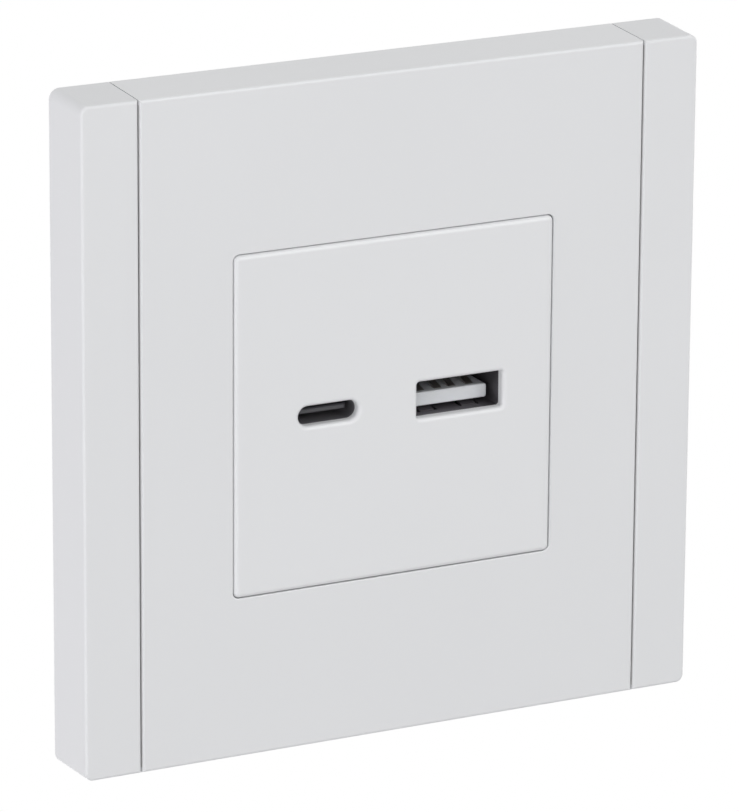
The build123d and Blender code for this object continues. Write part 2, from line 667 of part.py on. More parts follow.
def usb_c_insulator():
    """Dark insulator: base in the rear of the shell, stepped root and thin tongue."""
    base = SlotOverall(C_SHELL_W - 2 * SEAT_FIT, C_SHELL_H - 2 * SEAT_FIT)
    base_z = PORT_BOARD_Z + C_BASE_L
    body = prism(base, PORT_BOARD_Z, base_z)
    body += prism(Rectangle(C_TONGUE_W, C_STEP_T), PORT_BOARD_Z, base_z + C_STEP_L)
    tongue = prism(Rectangle(C_TONGUE_W, C_TONGUE_T), base_z, C_TONGUE_Z)
    tongue = chamfer(tongue.faces().sort_by(Axis.Z)[-1].edges(), C_TONGUE_CHAMFER)
    return C_PORT * (body + tongue)


def usb_c_contacts():
    """Flat contacts on both sides of the tongue."""
    low = PORT_BOARD_Z + C_BASE_L + C_STEP_L
    half = C_CONTACT_W / 2
    strip = block(across(half), (C_TONGUE_T / 2, C_TONGUE_T / 2 + C_CONTACT_T), (low, low + C_CONTACT_L))
    places = [(i - (C_CONTACT_COUNT - 1) / 2) * C_CONTACT_PITCH for i in range(C_CONTACT_COUNT)]
    sides = (strip, mirror(strip, about=Plane.XZ))
    return [C_PORT * Pos(x) * side for side in sides for x in places]


# Boards and the parts on them


def port_board():
    """Board behind the ports, with slots for the solder legs."""
    outline = RectangleRounded(PORT_BOARD_W, BOARD_H, BOARD_CORNER_R)
    body = prism(outline, PORT_BOARD_BACK, PORT_BOARD_Z)
    for port, width, leg_width in ((A_PORT, A_SHELL_W, A_LEG_W), (C_PORT, C_SHELL_W, C_LEG_W)):
        slot = Rectangle(SHELL_T + 2 * SEAT_FIT, leg_width + 2 * SEAT_FIT)
        tool = prism(slot, PORT_BOARD_BACK - OVERCUT, PORT_BOARD_Z + OVERCUT)
        x = (width + SHELL_T) / 2
        body -= [port * Pos(-x) * tool, port * Pos(x) * tool]
    return body


def power_board():
    """Rear board that carries the mains side."""
    outline = RectangleRounded(POWER_BOARD_W, BOARD_H, BOARD_CORNER_R)
    return prism(outline, POWER_BOARD_BACK, POWER_BOARD_Z)


def chip():
    """Small leaded chip that lies on z = 0 and rises to +z."""
    rise = CONTROLLER_LEAD_T
    body = prism(Rectangle(CONTROLLER_W, CONTROLLER_H), rise, rise + CONTROLLER_T)
    body = chamfer(body.faces().sort_by(Axis.Z)[-1].edges(), CONTROLLER_CHAMFER)
    foot_y = CONTROLLER_H / 2 + CONTROLLER_LEAD_L
    for i in range(CONTROLLER_LEADS):
        x = (i - (CONTROLLER_LEADS - 1) / 2) * CONTROLLER_LEAD_PITCH
        span = (x - CONTROLLER_LEAD_W / 2, x + CONTROLLER_LEAD_W / 2)
        body += block(span, across(foot_y), (0, CONTROLLER_LEAD_T))
    return body


def behind(at, height, shape):
    """Shape made on z = 0, turned over and put on the rear face of a board at this height."""
    return Pos(at[0], at[1], height) * Rot(180, 0, 0) * shape


def on_power_board(at, shape):
    """Shape made on z = 0, put on the front face of the power board."""
    return Pos(at[0], at[1], POWER_BOARD_Z) * shape


def core_half():
    """E-shaped ferrite half with its back on z = 0 and its legs along +z."""
    body = block(across(CORE_W / 2), across(CORE_T / 2), (0, CORE_HALF_H))
    inner = CORE_W / 2 - CORE_LEG
    for low, high in ((-inner, -CORE_CENTRE_LEG / 2), (CORE_CENTRE_LEG / 2, inner)):
        body -= block((low, high), across(CORE_T), (CORE_BACK, CORE_HALF_H + OVERCUT))
    return body


def bobbin_sections():
    """Sections of the bobbin: the hole for the centre leg, the tube round it and the flanges."""
    hole = Rectangle(CORE_CENTRE_LEG + 2 * SEAT_FIT, CORE_T + 2 * SEAT_FIT)
    wall = SEAT_FIT + BOBBIN_WALL
    tube = Rectangle(CORE_CENTRE_LEG + 2 * wall, CORE_T + 2 * wall)
    width = CORE_W - 2 * CORE_LEG - 2 * SEAT_FIT
    flange = RectangleRounded(width, BOBBIN_DEPTH, BOBBIN_CORNER_R)
    return hole, tube, flange


def bobbin_span():
    """Low and high end of the bobbin between the backs of the two core halves."""
    return (CORE_BACK + SEAT_FIT, 2 * CORE_HALF_H - CORE_BACK - SEAT_FIT)


def transformer_bobbin():
    """Winding former: a tube round the centre leg with a flange at each end."""
    hole, tube, flange = bobbin_sections()
    low, high = bobbin_span()
    body = prism(tube - hole, low, high)
    body += prism(flange - hole, low, low + BOBBIN_FLANGE_T)
    body += prism(flange - hole, high - BOBBIN_FLANGE_T, high)
    return on_power_board(TRANSFORMER_AT, body)


def transformer_winding():
    """Taped winding that fills the former, a little inside its flanges."""
    _, tube, flange = bobbin_sections()
    low, high = bobbin_span()
    section = offset(flange, -WINDING_MARGIN) - tube
    body = prism(section, low + BOBBIN_FLANGE_T, high - BOBBIN_FLANGE_T)
    return on_power_board(TRANSFORMER_AT, body)


def capacitor(radius, length):
    """Electrolytic can on z = 0: rolled groove near its foot, round shoulder, cross-shaped vent."""
    groove = CAP_GROOVE_L
    with BuildLine() as side:
        Polyline(
            (0, 0),
            (radius, 0),
            (radius, groove - CAP_GROOVE),
            (radius - CAP_GROOVE, groove),
            (radius, groove + CAP_GROOVE),
            (radius, length),
            (0, length),
            close=True,
        )
    profile = make_face(side.line)
    body = revolve(Plane.XZ * profile, Axis.Z)
    body = fillet(body.edges().filter_by(GeomType.CIRCLE).group_by(Axis.Z)[-1], CAP_EDGE_R)
    z = (length - CAP_VENT_DEPTH, length + OVERCUT)
    reach = across(radius - 2 * CAP_EDGE_R)
    width = across(CAP_VENT_W / 2)
    return body - [block(reach, width, z), block(width, reach, z)]


def suppression_capacitor():
    """Box-shaped film capacitor, with its long side along y."""
    body = prism(Rectangle(SUPPRESSION_T, SUPPRESSION_W), 0, SUPPRESSION_H)
    edges = body.edges().filter_by(Axis.Z) + body.faces().sort_by(Axis.Z)[-1].edges()
    return on_power_board(SUPPRESSION_AT, fillet(edges, SUPPRESSION_EDGE_R))


def ring(inner, outer, low, high):
    """Round ring or disc about z between two heights."""
    section = Circle(outer)
    if inner:
        section -= Circle(inner)
    return prism(section, low, high)


def choke_core():
    """Drum core of the filter choke."""
    body = ring(0, CHOKE_CORE_R, 0, CHOKE_H) + ring(0, CHOKE_R, 0, CHOKE_FLANGE)
    return on_power_board(CHOKE_AT, body + ring(0, CHOKE_R, CHOKE_H - CHOKE_FLANGE, CHOKE_H))


def choke_winding():
    """Winding on the drum core."""
    winding = ring(CHOKE_CORE_R, CHOKE_WINDING_R, CHOKE_FLANGE, CHOKE_H - CHOKE_FLANGE)
    return on_power_board(CHOKE_AT, winding)


def bridge_rectifier():
    """Flat bridge rectifier with four leads folded down to the board."""
    high = BRIDGE_STANDOFF + BRIDGE_H
    body = prism(Rectangle(BRIDGE_W, BRIDGE_T), BRIDGE_STANDOFF, high)
    body = chamfer(body.faces().sort_by(Axis.Z)[-1].edges(), BRIDGE_CHAMFER)
    reach = BRIDGE_T / 2 + BRIDGE_LEAD_T
    for x in (-BRIDGE_LEAD_PITCH / 2, BRIDGE_LEAD_PITCH / 2):
        span = (x - BRIDGE_LEAD_W / 2, x + BRIDGE_LEAD_W / 2)
        lead = block(span, (BRIDGE_T / 2, reach), (0, BRIDGE_STANDOFF + BRIDGE_H / 2))
        body += [lead, mirror(lead, about=Plane.XZ)]
    return on_power_board(BRIDGE_AT, body)


def fuse_resistor():
    """Fusible resistor lying along y on the board: waisted body and two leads bent down."""
    axis_z = FUSE_R
    half = FUSE_L / 2
    along = Pos(0, 0, axis_z) * Rot(0, 90, 0)
    body = along * Cylinder(FUSE_R - FUSE_WAIST, FUSE_L)
    cap = along * Cylinder(FUSE_R, FUSE_CAP_L)
    end = half - FUSE_CAP_L / 2
    body += [Pos(-end) * cap, Pos(end) * cap]
    bend = 2 * LEAD_R
    elbow = half + LEAD_REACH
    path = FilletPolyline((half - LEAD_R, 0, axis_z), (elbow, 0, axis_z), (elbow, 0, 0), radius=bend)
    lead = sweep(Plane(origin=path @ 0, z_dir=path % 0) * Circle(LEAD_R), path)
    body += [lead, mirror(lead, about=Plane.YZ)]
    return on_power_board(FUSE_AT, Rot(0, 0, 90) * body)


def link_places():
    """Places of the pins between the boards."""
    return [
        Pos(LINK_AT[0] + (i - (LINK_COUNT - 1) / 2) * LINK_PITCH, LINK_AT[1]) for i in range(LINK_COUNT)
    ]


def link_pins():
    """Square pins from the power board to the port board."""
    pin = prism(Rectangle(LINK_PIN, LINK_PIN), POWER_BOARD_Z, PORT_BOARD_BACK)
    return [place * pin for place in link_places()]


def link_header():
    """Plastic header that holds the pins upright on the power board."""
    outline = RectangleRounded(LINK_COUNT * LINK_PITCH, LINK_HEADER_T, LINK_HEADER_R)
    body = prism(Pos(*LINK_AT) * outline, POWER_BOARD_Z, POWER_BOARD_Z + LINK_HEADER_T)
    hole = LINK_PIN + 2 * SHAFT_FIT
    tool = prism(Rectangle(hole, hole), POWER_BOARD_Z - OVERCUT, POWER_BOARD_Z + LINK_HEADER_T + OVERCUT)
    return body - [place * tool for place in link_places()]


# Mains terminals


def terminal_half_width():
    """Half the width of the terminal block."""
    return TERMINAL_PITCH / 2 + CLAMP_W / 2 + SLIDE_FIT + TERMINAL_SIDE_WALL


def terminal_pocket():
    """Room for one pole at x = 0: head and clamp spaces with a web between, driver hole and wire funnel."""
    half = CLAMP_W / 2 + SLIDE_FIT
    z = (POCKET_BACK, POWER_BOARD_BACK + OVERCUT)
    head = block(across(half), (TERMINAL_LOW_Y + TERMINAL_FLOOR, WEB_Y), z)
    clamp = block(across(half), (WEB_Y + TERMINAL_WEB, TERMINAL_TOP_Y - TERMINAL_TOP), z)
    journal = SCREW_R + SHAFT_FIT
    web_slot = block(across(journal), (WEB_Y - OVERCUT, NUT_Y), (CLAMP_Z, z[1]))
    turned = Pos(0, 0, CLAMP_Z) * Rot(90, 0, 0)
    rounding = turned * Cylinder(journal, 2 * (NUT_Y - WEB_Y))
    rounding = Pos(0, WEB_Y, 0) * rounding
    driver = turned * Cylinder(DRIVER_HOLE_R, 2 * (TERMINAL_FLOOR + SEAT_FIT))
    driver = Pos(0, TERMINAL_LOW_Y, 0) * driver
    entry_w = BAR_W / 2 + SEAT_FIT
    entry_y = (BAR_Y - SEAT_FIT, FOOT_Y)
    entry = block(across(entry_w), entry_y, (TERMINAL_BACK - OVERCUT, POCKET_BACK + OVERCUT))
    middle = (entry_y[0] + entry_y[1]) / 2
    mouth = Rectangle(2 * entry_w, entry_y[1] - entry_y[0])
    wide = Rectangle(2 * (entry_w + WIRE_FUNNEL), entry_y[1] - entry_y[0] + 2 * WIRE_FUNNEL)
    rear = Pos(0, middle, TERMINAL_BACK)
    funnel = loft([rear * wide, rear * Pos(0, 0, WIRE_FUNNEL) * mouth])
    return [head, clamp, web_slot, rounding, driver, entry, funnel]


def terminal_block():
    """Insulating block on the rear of the power board, with a pocket for each pole."""
    half = terminal_half_width()
    body = block(across(half), (TERMINAL_LOW_Y, TERMINAL_TOP_Y), (TERMINAL_BACK, POWER_BOARD_BACK))
    body = fillet(body.edges().filter_by(Axis.Z), TERMINAL_EDGE_R)
    for x in TERMINAL_X:
        for tool in terminal_pocket():
            body -= Pos(x) * tool
    return body


def terminal_bar(x):
    """Conductor bar of one pole, from the wire entry through the clamp to the board."""
    z = (TERMINAL_BACK + WIRE_FUNNEL, POWER_BOARD_BACK)
    return block((x - BAR_W / 2, x + BAR_W / 2), (BAR_Y, BAR_Y + BAR_T), z)


def terminal_clamp(x):
    """Rising clamp of one pole, fully open: a metal loop round the bar, its nut towards the screw head."""
    high = FOOT_Y + CLAMP_FOOT_T
    inner = CLAMP_W / 2 - CLAMP_SIDE_T
    z = (CLAMP_Z - CLAMP_L / 2, CLAMP_Z + CLAMP_L / 2)
    body = block(across(CLAMP_W / 2), (NUT_Y, high), z)
    body = fillet(body.edges().filter_by(Axis.Z), CLAMP_SIDE_T / 2)
    body -= block(across(inner), (NUT_Y + CLAMP_NUT_T, FOOT_Y), (z[0] - OVERCUT, z[1] + OVERCUT))
    thread = Cylinder(SCREW_R + SHAFT_FIT, 2 * (CLAMP_NUT_T + SHAFT_FIT))
    thread = Pos(0, NUT_Y, CLAMP_Z) * Rot(90, 0, 0) * thread
    return Pos(x) * (body - thread)


def terminal_screw(x):
    """Clamp screw of one pole: slotted head towards the driver hole, tip at the bar."""
    tip = BAR_Y - SEAT_FIT
    upright = (Align.CENTER, Align.CENTER, Align.MIN)
    head = Cylinder(SCREW_HEAD_R, SCREW_HEAD_H, align=upright)
    head -= block(across(SCREW_HEAD_R + OVERCUT), across(SCREW_DRIVE_W / 2), (-OVERCUT, SCREW_DRIVE_D))
    shank = Pos(0, 0, SCREW_HEAD_H - SCREW_DRIVE_D / 2) * Cylinder(
        SCREW_R, tip - HEAD_Y - SCREW_HEAD_H + SCREW_DRIVE_D / 2, align=upright
    )
    body = head + shank
    return Pos(x, HEAD_Y, CLAMP_Z) * Rot(-90, 0, 0) * body


def parts():
    """Every node with its solid, or with its group of separate solids."""
    strip = side_strip()
    line_x, neutral_x = TERMINAL_X
    return {
        "frame_panel": frame_panel(),
        "side_strip_left": mirror(strip, about=Plane.YZ),
        "side_strip_right": strip,
        "mounting_support": mounting_support(),
        "insert_cover": insert_cover(),
        "insert_housing": insert_housing(),
        "usb_a_shell": usb_a_shell(),
        "usb_a_insulator": usb_a_insulator(),
        "usb_a_contacts": usb_a_contacts(),
        "usb_c_shell": usb_c_shell(),
        "usb_c_insulator": usb_c_insulator(),
        "usb_c_contacts": usb_c_contacts(),
        "port_board": port_board(),
        "port_controller": behind(PORT_CONTROLLER_AT, PORT_BOARD_BACK, chip()),
        "power_board": power_board(),
        "power_controller": behind(POWER_CONTROLLER_AT, POWER_BOARD_BACK, chip()),
        "link_pins": link_pins(),
        "link_header": link_header(),
        "transformer_core_rear": on_power_board(TRANSFORMER_AT, core_half()),
        "transformer_core_front": on_power_board(
            TRANSFORMER_AT, Pos(0, 0, 2 * CORE_HALF_H) * Rot(180, 0, 0) * core_half()
        ),
        "transformer_bobbin": transformer_bobbin(),
        "transformer_winding": transformer_winding(),
        "input_capacitor": on_power_board(INPUT_CAP_AT, capacitor(INPUT_CAP_R, INPUT_CAP_L)),
        "output_capacitor": on_power_board(OUTPUT_CAP_AT, capacitor(OUTPUT_CAP_R, OUTPUT_CAP_L)),
        "suppression_capacitor": suppression_capacitor(),
        "choke_core": choke_core(),
        "choke_winding": choke_winding(),
        "bridge_rectifier": bridge_rectifier(),
        "fuse_resistor": fuse_resistor(),
        "terminal_block": terminal_block(),
        "terminal_bar_line": terminal_bar(line_x),
        "terminal_bar_neutral": terminal_bar(neutral_x),
        "terminal_clamp_line": terminal_clamp(line_x),
        "terminal_clamp_neutral": terminal_clamp(neutral_x),
        "terminal_screw_line": terminal_screw(line_x),
        "terminal_screw_neutral": terminal_screw(neutral_x),
    }


def stand_up(shape):
    """Turns the flat drawing upright: z out of the wall becomes -Y, and y becomes Z."""
    solids = shape if isinstance(shape, list) else shape.solids()
    return Compound([solid for one in solids for solid in (Rot(90, 0, 0) * one).solids()])


os.makedirs("parts", exist_ok=True)
for node, shape in parts().items():
    export_step(stand_up(shape), f"parts/{node}.step")
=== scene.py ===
import math

import bpy
from mathutils import Matrix, Vector


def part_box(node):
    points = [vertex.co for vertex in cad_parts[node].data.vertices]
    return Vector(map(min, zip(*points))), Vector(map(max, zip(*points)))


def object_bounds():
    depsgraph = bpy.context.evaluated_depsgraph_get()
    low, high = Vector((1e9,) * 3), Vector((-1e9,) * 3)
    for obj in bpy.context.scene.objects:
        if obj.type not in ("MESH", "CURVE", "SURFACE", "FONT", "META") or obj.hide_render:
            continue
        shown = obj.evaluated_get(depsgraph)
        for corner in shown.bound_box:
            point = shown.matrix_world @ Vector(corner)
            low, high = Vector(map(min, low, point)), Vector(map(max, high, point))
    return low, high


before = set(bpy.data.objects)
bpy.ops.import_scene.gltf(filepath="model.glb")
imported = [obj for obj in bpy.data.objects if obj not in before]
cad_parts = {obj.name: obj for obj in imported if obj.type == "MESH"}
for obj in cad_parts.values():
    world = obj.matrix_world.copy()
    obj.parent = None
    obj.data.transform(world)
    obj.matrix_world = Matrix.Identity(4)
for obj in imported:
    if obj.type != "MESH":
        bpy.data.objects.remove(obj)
cad_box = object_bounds()

# Units, in metres
MM = 0.001
MICRON = 0.000001

# Image, in pixels
IMAGE_W = 739
IMAGE_H = 812

# Camera, in metres and degrees where the name doesn't say otherwise
SENSOR_MM = 36.0
FOCAL_PX = 6217.613
CLIP_START = 0.01
CAMERA_TARGET = Vector((-0.001536, -0.005, -0.000883))
CAMERA_DISTANCE = 0.789622
CAMERA_AZIMUTH = -26.745
CAMERA_ELEVATION = 17.383
CAMERA_ROLL = 0.372

# Floor and world
WHITE = (1.0, 1.0, 1.0, 1.0)
FLOOR_SIZE = 6.0
FLOOR_DROP = 1.5  # below the object, which hangs on its wall screws
FLOOR_COLOUR = (0.86, 0.86, 0.86, 1.0)
FLOOR_ROUGHNESS = 0.8
WORLD_STRENGTH = 0.42

# Lamps: name, place and size in metres, power in watts, colour
PLAIN_LIGHT = (1.0, 1.0, 1.0)
FAINT_VIOLET = (1.0, 0.985, 1.02)
LAMPS = (
    ("key", (0.451, -0.854, 0.75), (0.7, 0.7), 6.6, PLAIN_LIGHT),
    ("left_fill", (-1.05, -0.25, -0.12), (1.2, 1.0), 6.8, FAINT_VIOLET),
    ("front_fill", (-0.594, -1.029, 0.167), (0.5, 0.5), 1.9, PLAIN_LIGHT),
    ("overhead", (0.0, 0.35, 1.0), (0.7, 0.7), 0.9, PLAIN_LIGHT),
    ("right_fill", (1.1, 0.2, 0.0), (0.8, 0.8), 2.8, PLAIN_LIGHT),
    ("behind", (0.4, 1.05, -0.3), (0.8, 0.8), 6.0, PLAIN_LIGHT),
)

# Colour sockets of a Mix node, which has others of the same names for numbers and vectors
MIX_FIRST = 6
MIX_SECOND = 7
MIX_RESULT = 2

# Share of each finer step in a noise
NOISE_ROUGHNESS = 0.55


def rgb(red, green, blue):
    """Opaque colour."""
    return (red, green, blue, 1.0)


# Tones from dark to light, and roughness from smooth to dull, of the white mouldings
INSERT_TONES = (rgb(0.735, 0.742, 0.753), rgb(0.755, 0.762, 0.773))
PLATE_TONES = (rgb(0.724, 0.731, 0.742), rgb(0.744, 0.751, 0.762))
INSERT_GLOSS = (0.34, 0.44)
PANEL_GLOSS = (0.35, 0.45)
STRIP_GLOSS = (0.50, 0.60)

# Painted shade in the joints between the panel and the strips, standing in for the shadow in the gap
JOINT_GAP = 0.15 * MM
JOINT_REACH = 0.5 * MM  # from the gap's middle to each side
JOINT_BLEND = 0.1 * MM
JOINT_DEPTH = (0.1 * MM, 0.4 * MM)  # behind the front, where the shade begins and where it is full
JOINT_FLOOR = 3.0 * MM  # behind the front, where the shade ends
JOINT_END = 0.9 * MM  # clear of the plate's upper and lower edges
# colour of the painted shade in the joints
JOINT_SHADE_TONE = rgb(0.57, 0.57, 0.57)

# Sizes of the patterns on the small parts; a pair is where a blend begins and ends
MOULD_GRAIN = 0.25 * MM
TERMINAL_GRAIN = 0.3 * MM
CELL_GRAINS = 3  # grains across a cell
TRACK_EDGE = (0.06, 0.09)  # as a share of a cell
FILLER_GRAINS = (0.45, 0.75)  # as levels of the noise
PIT_RIM = (0.0, 0.25)  # as a share of a cell
CAN_END = (0.2 * MM, 0.3 * MM)  # behind the capacitor's front end
STRIPE_EDGE = (-3.0 * MM, -2.8 * MM)  # from the capacitor's axis
WIRE_WAVE = 1.8 * MM
WIRE_WAVER = 0.25
BAND_EDGE = (0.26 * MM, 0.32 * MM)  # from a band's middle
LEAD_START = (3.55 * MM, 3.60 * MM)  # from the resistor's middle

# Bands round the resistor: distance from its middle, and colour
BANDS = (
    (-2.2 * MM, rgb(0.16, 0.06, 0.02)),
    (-1.1 * MM, rgb(0.01, 0.01, 0.01)),
    (0.0, rgb(0.01, 0.01, 0.01)),
    (1.6 * MM, rgb(0.45, 0.30, 0.05)),
)


# Shader nodes


class Surface:
    """A material whose nodes are added one by one, with object coordinates in metres."""

    def __init__(self, name):
        self.material = bpy.data.materials.new(name)
        self.material.use_nodes = True
        tree = self.material.node_tree
        self.nodes = tree.nodes
        self.links = tree.links
        self.shader = self.nodes["Principled BSDF"]
        self.coords = self.nodes.new("ShaderNodeTexCoord").outputs["Object"]

    def link(self, source, target):
        """Joins two sockets."""
        self.links.new(source, target)

    def stretched(self, scale):
        """Object coordinates, scaled on each axis."""
        node = self.nodes.new("ShaderNodeMapping")
        node.inputs["Scale"].default_value = scale
        self.link(self.coords, node.inputs["Vector"])
        return node.outputs["Vector"]

    def noise(self, size, detail=3.0, coords=None):
        """Cloudy noise with features of about this size in metres."""
        node = self.nodes.new("ShaderNodeTexNoise")
        node.inputs["Scale"].default_value = 1.0 / size
        node.inputs["Detail"].default_value = detail
        node.inputs["Roughness"].default_value = NOISE_ROUGHNESS
        self.link(coords or self.coords, node.inputs["Vector"])
        return node.outputs["Fac"]

    def cells(self, size, feature="F1"):
        """Cell pattern with cells of about this size in metres."""
        node = self.nodes.new("ShaderNodeTexVoronoi")
        node.feature = feature
        node.inputs["Scale"].default_value = 1.0 / size
        self.link(self.coords, node.inputs["Vector"])
        return node.outputs["Distance"]

    def spread(self, value, low, high, start=0.0, end=1.0):
        """Maps a value from start..end to low..high, and holds it there."""
        node = self.nodes.new("ShaderNodeMapRange")
        node.inputs["From Min"].default_value = start
        node.inputs["From Max"].default_value = end
        node.inputs["To Min"].default_value = low
        node.inputs["To Max"].default_value = high
        self.link(value, node.inputs["Value"])
        return node.outputs["Result"]

    def rise(self, value, start, end):
        """0 up to the start and 1 beyond the end."""
        return self.spread(value, 0.0, 1.0, start, end)

    def fall(self, value, start, end):
        """1 up to the start and 0 beyond the end."""
        return self.spread(value, 1.0, 0.0, start, end)

    def math(self, kind, one, other=None):
        """Maths node; the second value may be a number, or left out."""
        node = self.nodes.new("ShaderNodeMath")
        node.operation = kind
        self.link(one, node.inputs[0])
        if isinstance(other, float):
            node.inputs[1].default_value = other
        elif other is not None:
            self.link(other, node.inputs[1])
        return node.outputs["Value"]

    def axis(self, name):
        """One of the object coordinates, in metres."""
        node = self.nodes.new("ShaderNodeSeparateXYZ")
        self.link(self.coords, node.inputs["Vector"])
        return node.outputs[name]

    def away(self, value, place):
        """How far a value is from a place, to either side of it."""
        return self.math("ABSOLUTE", self.math("SUBTRACT", value, place))

    def mix(self, factor, one, other):
        """Colour between two colours or colour sockets."""
        node = self.nodes.new("ShaderNodeMix")
        node.data_type = "RGBA"
        self.link(factor, node.inputs["Factor"])
        for socket, colour in ((node.inputs[MIX_FIRST], one), (node.inputs[MIX_SECOND], other)):
            if isinstance(colour, tuple):
                socket.default_value = colour
            else:
                self.link(colour, socket)
        return node.outputs[MIX_RESULT]

    def colour(self, socket):
        """Gives the shader its colour."""
        self.link(socket, self.shader.inputs["Base Color"])

    def metal(self, pattern=None):
        """Makes the surface metal, all over or where a pattern is 1."""
        socket = self.shader.inputs["Metallic"]
        if pattern is None:
            socket.default_value = 1.0
        else:
            self.link(pattern, socket)

    def roughness(self, value, low, high):
        """Roughness that follows a pattern between two values."""
        self.link(self.spread(value, low, high), self.shader.inputs["Roughness"])

    def bump(self, height, depth):
        """Relief of this depth in metres from a 0..1 pattern, over any relief already there."""
        node = self.nodes.new("ShaderNodeBump")
        node.inputs["Strength"].default_value = 1.0
        node.inputs["Distance"].default_value = depth
        self.link(height, node.inputs["Height"])
        normal = self.shader.inputs["Normal"]
        if normal.links:
            self.link(normal.links[0].from_socket, node.inputs["Normal"])
        self.link(node.outputs["Normal"], normal)


# Materials


def painted_joint_shade(s):
    """Mask of the painted shade: 1 inside the joints between the panel and the strips, and 0 outside
    them.
    """
    low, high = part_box("side_strip_right")
    middle = low.x - JOINT_GAP / 2
    end = high.z - JOINT_END
    depth = s.math("SUBTRACT", s.axis("Y"), low.y)
    beside = s.away(s.math("ABSOLUTE", s.axis("X")), middle)
    along = s.math("ABSOLUTE", s.axis("Z"))
    near = s.fall(beside, JOINT_REACH, JOINT_REACH + JOINT_BLEND)
    inside = s.rise(depth, *JOINT_DEPTH)
    above = s.fall(depth, JOINT_FLOOR - JOINT_BLEND, JOINT_FLOOR)
    within = s.fall(along, end - JOINT_BLEND, end)
    return s.math("MULTIPLY", s.math("MULTIPLY", near, inside), s.math("MULTIPLY", above, within))


def white_plastic(name, tones, gloss, shaded_joints=False):
    """White moulding with a trace of flow marks and a very fine grain; its joints may be darkened with
    painted shade.
    """
    s = Surface(name)
    tone_and_shade = s.mix(s.noise(30 * MM, detail=2.0), *tones)
    # painted shade: the joints are darkened where the gap would lie in shadow
    if shaded_joints:
        tone_and_shade = s.mix(painted_joint_shade(s), tone_and_shade, JOINT_SHADE_TONE)
    s.colour(tone_and_shade)
    s.roughness(s.noise(1.2 * MM), *gloss)
    s.bump(s.noise(0.22 * MM, detail=2.0), depth=1.2 * MICRON)
    s.bump(s.noise(12 * MM, detail=1.0), depth=6 * MICRON)
    return s.material


def moulded_plastic(name, dark, light, grain=MOULD_GRAIN):
    """Matte technical plastic with a spark-eroded grain."""
    s = Surface(name)
    s.colour(s.mix(s.noise(9 * MM), dark, light))
    s.roughness(s.noise(0.9 * MM), low=0.48, high=0.66)
    s.bump(s.noise(grain, detail=4.0), depth=12 * MICRON)
    s.bump(s.cells(grain * CELL_GRAINS), depth=6 * MICRON)
    return s.material


def stamped_steel(name, dark, light):
    """Tin-plated sheet with drawing lines along the shell."""
    s = Surface(name)
    lines = s.noise(0.12 * MM, coords=s.stretched((1.0, 0.04, 1.0)))
    s.colour(s.mix(s.noise(1.6 * MM), dark, light))
    s.metal()
    s.roughness(lines, low=0.52, high=0.68)
    s.bump(lines, depth=4 * MICRON)
    return s.material


def zinc_steel():
    """Zinc-plated steel with faint bright and dull patches."""
    s = Surface("zinc_steel")
    s.colour(s.mix(s.cells(0.7 * MM), rgb(0.50, 0.51, 0.52), rgb(0.62, 0.62, 0.60)))
    s.metal()
    s.roughness(s.noise(0.4 * MM), low=0.34, high=0.50)
    s.bump(s.noise(0.15 * MM), depth=5 * MICRON)
    return s.material


def tongue_plastic(name, dark, light):
    """Glass-filled insulator with a trace of fibre from side to side."""
    s = Surface(name)
    fibres = s.noise(0.18 * MM, coords=s.stretched((0.18, 1.0, 1.0)))
    s.colour(s.mix(fibres, dark, light))
    s.roughness(fibres, low=0.36, high=0.52)
    s.bump(fibres, depth=4 * MICRON)
    return s.material


def plated_strip(name, dark, light):
    """Plated metal strip with rolling marks."""
    s = Surface(name)
    marks = s.noise(0.08 * MM, detail=2.0, coords=s.stretched((1.0, 0.05, 1.0)))
    s.colour(s.mix(s.noise(0.8 * MM), dark, light))
    s.metal()
    s.roughness(marks, low=0.30, high=0.50)
    s.bump(marks, depth=2 * MICRON)
    return s.material


def circuit_board():
    """Green solder mask over copper tracks, with a trace of the glass weave."""
    s = Surface("circuit_board")
    tracks = s.fall(s.cells(3.5 * MM, "DISTANCE_TO_EDGE"), *TRACK_EDGE)
    weave = s.noise(0.6 * MM, detail=2.0)
    mask = s.mix(tracks, rgb(0.018, 0.115, 0.045), rgb(0.035, 0.190, 0.075))
    s.colour(s.mix(s.spread(weave, low=0.0, high=0.25), mask, rgb(0.03, 0.14, 0.06)))
    s.roughness(weave, low=0.26, high=0.40)
    s.bump(tracks, depth=30 * MICRON)
    s.bump(weave, depth=6 * MICRON)
    return s.material


def chip_resin():
    """Black moulded resin with a matte sparkle of filler."""
    s = Surface("chip_resin")
    grains = s.noise(0.12 * MM, detail=2.0)
    sparkle = s.rise(grains, *FILLER_GRAINS)
    s.colour(s.mix(sparkle, rgb(0.011, 0.011, 0.012), rgb(0.035, 0.035, 0.037)))
    s.roughness(grains, low=0.52, high=0.72)
    s.bump(grains, depth=6 * MICRON)
    return s.material


def ferrite():
    """Dark sintered ferrite with fine pits."""
    s = Surface("ferrite")
    pits = s.rise(s.cells(0.35 * MM), *PIT_RIM)
    s.colour(s.mix(s.noise(1.2 * MM), rgb(0.018, 0.018, 0.020), rgb(0.050, 0.050, 0.054)))
    s.roughness(s.noise(0.5 * MM), low=0.42, high=0.60)
    s.bump(pits, depth=20 * MICRON)
    return s.material


def polyester_tape():
    """Glossy yellow tape, with the edges of its turns as fine steps along the coil."""
    s = Surface("polyester_tape")
    turns = s.noise(0.7 * MM, detail=1.0, coords=s.stretched((0.06, 1.0, 0.06)))
    s.colour(s.mix(turns, rgb(0.60, 0.36, 0.015), rgb(0.74, 0.50, 0.040)))
    s.roughness(s.noise(2 * MM), low=0.20, high=0.34)
    s.bump(turns, depth=40 * MICRON)
    return s.material


